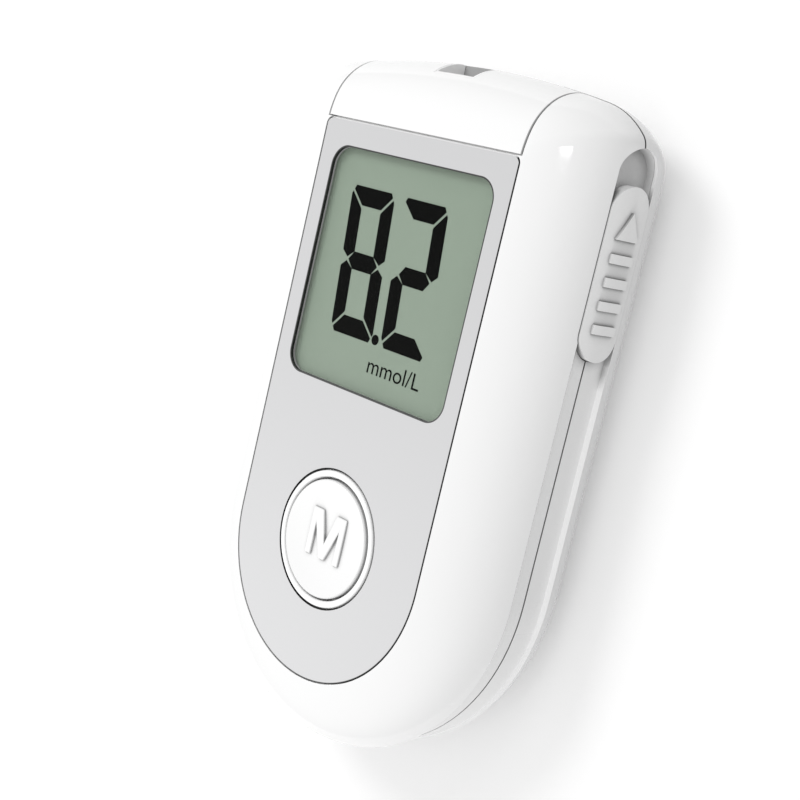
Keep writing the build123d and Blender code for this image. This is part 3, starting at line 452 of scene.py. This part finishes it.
# figures of the display: seven strokes each, leaning a little to the left
figures = {
    "text": "82", "left": -8.75 * mm, "pitch": 9.35 * mm, "low": 7.5 * mm,
    "height": 18.03 * mm, "width": 7.78 * mm, "stroke": 2.14 * mm, "gap": 0.32 * mm,
    "lean": -0.0935, "corner": 0.65 * mm, "above": 0.02 * mm,
    "dotX": -0.47 * mm, "dotY": 8.12 * mm, "dotRadius": 0.63 * mm, "dotSides": 32,
    "black": "#070807", "roughness": 0.45, "ior": 1.1,
    # the slanted cuts between the strokes: how far their corners stand off, in half gaps
    "tipIn": 2.2, "tipDown": 3.4, "sideTop": 7.0, "sideIn": 1.2, "sideDown": 5.0,
    "innerDown": 2.6, "innerSide": 4.0, "waistUp": 1.4, "middleTip": 1.6,
    # the waist of the outline: in strokes from the side, and in half strokes above the middle
    "waist": 0.45, "waistSide": 0.9,
}
strokesOf = {"8": "abcdefg", "2": "abged"}
# liquid crystal that is switched on: flat black, with hardly any gloss of its own
figureBlack = newMaterial("Liquid crystal black", figures["roughness"], figures["black"], figures["ior"])[0]


def strokeOutlines(f):
    # corners of the seven strokes of a figure whose lower left corner is the origin;
    # the right side mirrors the left one, and the lower half mirrors the upper one
    w, h, s, c = f["width"], f["height"], f["stroke"], f["corner"]
    middle, half, g = h / 2, s / 2, f["gap"] / 2
    top = [
        (c, h), (w - c, h), (w - f["tipIn"] * g, h - f["tipDown"] * g),
        (w - s, h - s - g), (s, h - s - g), (f["tipIn"] * g, h - f["tipDown"] * g),
    ]
    left = [
        (0, h - f["sideTop"] * g), (f["sideIn"] * g, h - f["sideDown"] * g),
        (s - g, h - s - f["innerDown"] * g), (s, h - s - f["innerSide"] * g), (s, middle + half),
        (f["waist"] * s, middle + f["waistUp"] * g), (0, middle + f["waistSide"] * half),
    ]
    right = [(w - x, y) for x, y in left][::-1]
    upper = {"a": top, "f": left, "b": right}
    lower = {below: [(x, h - y) for x, y in upper[above]][::-1] for above, below in ("ad", "fe", "bc")}
    tip = f["waist"] * s + f["middleTip"] * g
    bar = [
        (tip, middle), (s, middle + half), (w - s, middle + half),
        (w - tip, middle), (w - s, middle - half), (s, middle - half),
    ]
    return {**upper, **lower, "g": bar}


def makeFigures():
    # flat strokes, each point moved sideways by the lean times its height, and a round dot
    f = figures
    z = glassTop + f["above"]
    outlines = strokeOutlines(f)
    vertices, faces = [], []

    def add(x, y):
        start = len(vertices)
        vertices.extend(np.column_stack([x, y, np.full(len(x), z)]))
        faces.append(range(start, len(vertices)))

    for number, figure in enumerate(f["text"]):
        left = f["left"] + number * f["pitch"]
        for stroke in strokesOf[figure]:
            points = np.array(outlines[stroke])[::-1]
            add(left + points[:, 0] + f["lean"] * points[:, 1], f["low"] + points[:, 1])
    angle = np.linspace(0, 2 * np.pi, f["dotSides"], endpoint=False)
    add(f["dotX"] + f["dotRadius"] * np.cos(angle), f["dotY"] + f["dotRadius"] * np.sin(angle))
    meshPiece("display_figures", vertices, faces, figureBlack, "housing")


makeFigures()

# the unit under the figures, drawn by the same glass
unit = {"text": "mmol/L", "left": -0.72 * mm, "right": 8.5 * mm, "low": 4.03 * mm, "height": 2.0 * mm}


def makeUnit():
    # plain text made a mesh, whose box is then stretched to its place on the glass
    curve = bpy.data.curves.new("unit", "FONT")
    curve.body = unit["text"]
    draft = bpy.data.objects.new("unit", curve)
    bpy.context.scene.collection.objects.link(draft)
    bpy.context.view_layer.update()
    mesh = bpy.data.meshes.new_from_object(draft)
    bpy.data.objects.remove(draft)
    points = np.empty(len(mesh.vertices) * 3)
    mesh.vertices.foreach_get("co", points)
    points = points.reshape(-1, 3)
    low, high = points.min(0), points.max(0)
    x = unit["left"] + (points[:, 0] - low[0]) / (high[0] - low[0]) * (unit["right"] - unit["left"])
    y = unit["low"] + (points[:, 1] - low[1]) / (high[1] - low[1]) * unit["height"]
    z = np.full(len(x), glassTop + figures["above"])
    mesh.vertices.foreach_set("co", np.column_stack([x, y, z]).ravel())
    obj = bpy.data.objects.new("display_unit", mesh)
    bpy.context.scene.collection.objects.link(obj)
    mesh.materials.clear()
    mesh.materials.append(figureBlack)
    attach(obj, "housing")


makeUnit()
print("figures on the display")

# raised letter of the memory button, moulded with it
letter = {
    "halfWidth": 3.1 * mm, "height": 5.9 * mm, "stroke": 0.97 * mm, "shoulder": 1.85 * mm,
    "point": 0.48 * mm, "innerTop": 1.95 * mm, "valley": 3.85 * mm,
    "centreX": 0.15 * mm, "centreY": -16.5 * mm, "sink": 0.15 * mm, "rise": 0.42 * mm,
    "dish": 0.4 * mm,   # how deep the hollow of the button is where the letter stands
    "edge": 0.1 * mm, "edgeSteps": 3,
}


def makeLetter():
    # an outline whose left half mirrors the right one, raised from the button's hollow
    m = letter
    w, h, s = m["halfWidth"], m["height"], m["stroke"]
    right = [(m["point"], 0), (w - s, h - m["innerTop"]), (w - s, 0), (w, 0), (w, h), (w - m["shoulder"], h)]
    left = [(-x, y) for x, y in right][::-1]
    outline = np.array(right + [(0, h - m["valley"])] + left) + (m["centreX"], m["centreY"] - h / 2)
    count = len(outline)
    hollow = buttonTop - m["dish"]
    low = np.column_stack([outline, np.full(count, hollow - m["sink"])])
    high = np.column_stack([outline, np.full(count, hollow + m["rise"])])
    here = np.arange(count)
    beside = (here + 1) % count
    sides = np.column_stack([here, beside, beside + count, here + count]).tolist()
    faces = [range(count - 1, -1, -1), range(count, 2 * count)] + sides
    finish = finishes["memory_button"]
    obj = meshPiece("memory_letter", np.vstack([low, high]), faces, finish, "button")
    bevel = obj.modifiers.new("edge", "BEVEL")
    bevel.width = m["edge"]
    bevel.segments = m["edgeSteps"]


makeLetter()
print("letter on the button")

# return spring of the ejector: round steel wire, wound as a plain coil
spring = {
    "wire": 0.35 * mm, "turns": 7, "sides": 10, "perTurn": 28,
    "keep": 0.39,   # what is left of its length when the slider is pushed home
}


def makeSpring():
    # a wire of round section whose middle winds evenly about the spring's axis
    low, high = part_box("ejector_spring")
    half, sides = spring["wire"] / 2, spring["sides"]
    steps = spring["turns"] * spring["perTurn"] + 1
    angle = np.linspace(0, 2 * np.pi * spring["turns"], steps)[:, None]
    around = np.linspace(0, 2 * np.pi, sides, endpoint=False)[None, :]
    reach = (high.x - low.x) / 2 - half + half * np.cos(around)
    x = (low.x + high.x) / 2 + reach * np.cos(angle)
    y = np.linspace(low.y + half, high.y - half, steps)[:, None] + half * np.sin(around)
    z = (low.z + high.z) / 2 + reach * np.sin(angle)
    vertices = np.stack([x, y, z], axis=2).reshape(-1, 3)
    i, j = np.meshgrid(np.arange(steps - 1), np.arange(sides), indexing="ij")
    k = (j + 1) % sides
    quads = np.stack([i, i + 1, i + 1, i], axis=2) * sides + np.stack([j, j, k, k], axis=2)
    ends = [list(range(sides)), [len(vertices) - 1 - n for n in range(sides)]]
    faces = quads.reshape(-1, 4).tolist() + ends
    obj = meshPiece("return_spring", vertices, faces, finishes["steel"], "housing", True)
    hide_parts("ejector_spring")
    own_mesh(obj)


makeSpring()
print("spring")

# floor and room: the floor is white to the camera and greyer in the light that it throws back
studio = {
    "floor": "#FDFDFD", "floorBounce": "#B0B0B0", "floorRoughness": 0.9,
    "floorSize": 3.0, "floorGap": 0.05 * mm, "world": 0.685,
}


def makeFloor():
    # smooth white paper: matte, with no grain that shows from here
    half, z = studio["floorSize"] / 2, bodyLow.z - studio["floorGap"]
    corners = [(-half, -half, z), (half, -half, z), (half, half, z), (-half, half, z)]
    mesh = bpy.data.meshes.new("floor")
    mesh.from_pydata(corners, [], [(0, 1, 2, 3)])
    floor = bpy.data.objects.new("floor", mesh)
    bpy.context.scene.collection.objects.link(floor)
    material, tree, shader = newMaterial("Floor paper", studio["floorRoughness"], studio["floor"])
    ray = addNode(tree, "ShaderNodeLightPath").outputs
    seen = ray["Is Camera Ray"]
    for kind in ("Is Glossy Ray", "Is Transmission Ray"):
        seen = addNode(tree, "ShaderNodeMath", {"operation": "MAXIMUM"}, i0=seen, i1=ray[kind]).outputs[0]
    colour = coated(tree, srgb(studio["floorBounce"]), (seen, srgb(studio["floor"])))
    tree.links.new(colour, shader.inputs["Base Color"])
    # its underside is clear, so that the back can be seen from below
    under = addNode(tree, "ShaderNodeNewGeometry").outputs["Backfacing"]
    clear = addNode(tree, "ShaderNodeBsdfTransparent").outputs[0]
    both = addNode(tree, "ShaderNodeMixShader", i0=under, i1=shader.outputs[0], i2=clear)
    tree.links.new(both.outputs[0], tree.nodes["Material Output"].inputs["Surface"])
    mesh.materials.append(material)


# soft oval lamps: place and size in metres, power in watts
lamps = {
    # lights the front evenly from the left, with no shadow
    "fill": {
        "place": (-0.40, -0.24, 0.38), "size": (0.28, 0.28), "power": 0.84,
        "shadow": False, "gloss": True,
    },
    # throws the soft shadow to the right
    "key": {
        "place": (-0.22, 0.30, 0.42), "size": (0.25, 0.25), "power": 0.88,
        "shadow": True, "gloss": False,
    },
    # lifts the round lower end and the right side
    "low": {
        "place": (0.14, -0.38, 0.05), "size": (0.10, 0.10), "power": 0.38,
        "shadow": True, "gloss": False,
    },
    # lights the end with the strip port
    "back": {
        "place": (0.14, 0.42, 0.36), "size": (0.20, 0.20), "power": 0.2,
        "shadow": True, "gloss": False,
    },
    # makes the small highlight on the right shoulder
    "spark": {
        "place": (0.125, 0.0530, 0.496), "size": (0.09, 0.007), "power": 0.032,
        "shadow": True, "gloss": True,
    },
}


def addLamp(name, lamp):
    # an oval light that faces the object, its first size as near to the X axis as that allows
    light = bpy.data.lights.new(name, "AREA")
    light.shape = "ELLIPSE"
    light.size, light.size_y = lamp["size"]
    light.energy = lamp["power"]
    light.use_shadow = lamp["shadow"]
    obj = bpy.data.objects.new(name, light)
    back = Vector(lamp["place"]).normalized()
    up = back.cross(Vector((1, 0, 0))).normalized()
    turn = Matrix((up.cross(back), up, back)).transposed().to_4x4()
    obj.matrix_world = Matrix.Translation(lamp["place"]) @ turn
    obj.visible_glossy = lamp["gloss"]
    bpy.context.scene.collection.objects.link(obj)


def makeLight():
    world = bpy.data.worlds.new("Studio")
    world.use_nodes = True
    background = world.node_tree.nodes["Background"]
    background.inputs["Strength"].default_value = studio["world"]
    background.inputs["Color"].default_value = (1, 1, 1, 1)
    bpy.context.scene.world = world
    for name, lamp in lamps.items():
        addLamp(name, lamp)


# the camera's own right and up, where it stands, and its lens and film in millimetres
view = {
    "right": (0.6645, 0.2261, -0.7122), "up": (-0.2653, 0.9624, 0.0580),
    "place": (0.131569, 0.029444, 0.142229), "lens": 68.695, "film": 36.0, "nearest": 10 * mm,
}


def makeCamera():
    camera = bpy.data.cameras.new("camera")
    camera.sensor_width = view["film"]
    camera.lens = view["lens"]
    camera.clip_start = view["nearest"]
    obj = bpy.data.objects.new("camera", camera)
    right = Vector(view["right"]).normalized()
    back = right.cross(Vector(view["up"])).normalized()
    turn = Matrix((right, back.cross(right), back)).transposed().to_4x4()
    obj.matrix_world = Matrix.Translation(view["place"]) @ turn
    bpy.context.scene.collection.objects.link(obj)
    bpy.context.scene.camera = obj


makeFloor()
makeLight()
makeCamera()
bpy.context.scene.view_settings.view_transform = "Standard"
print("floor, light and camera")
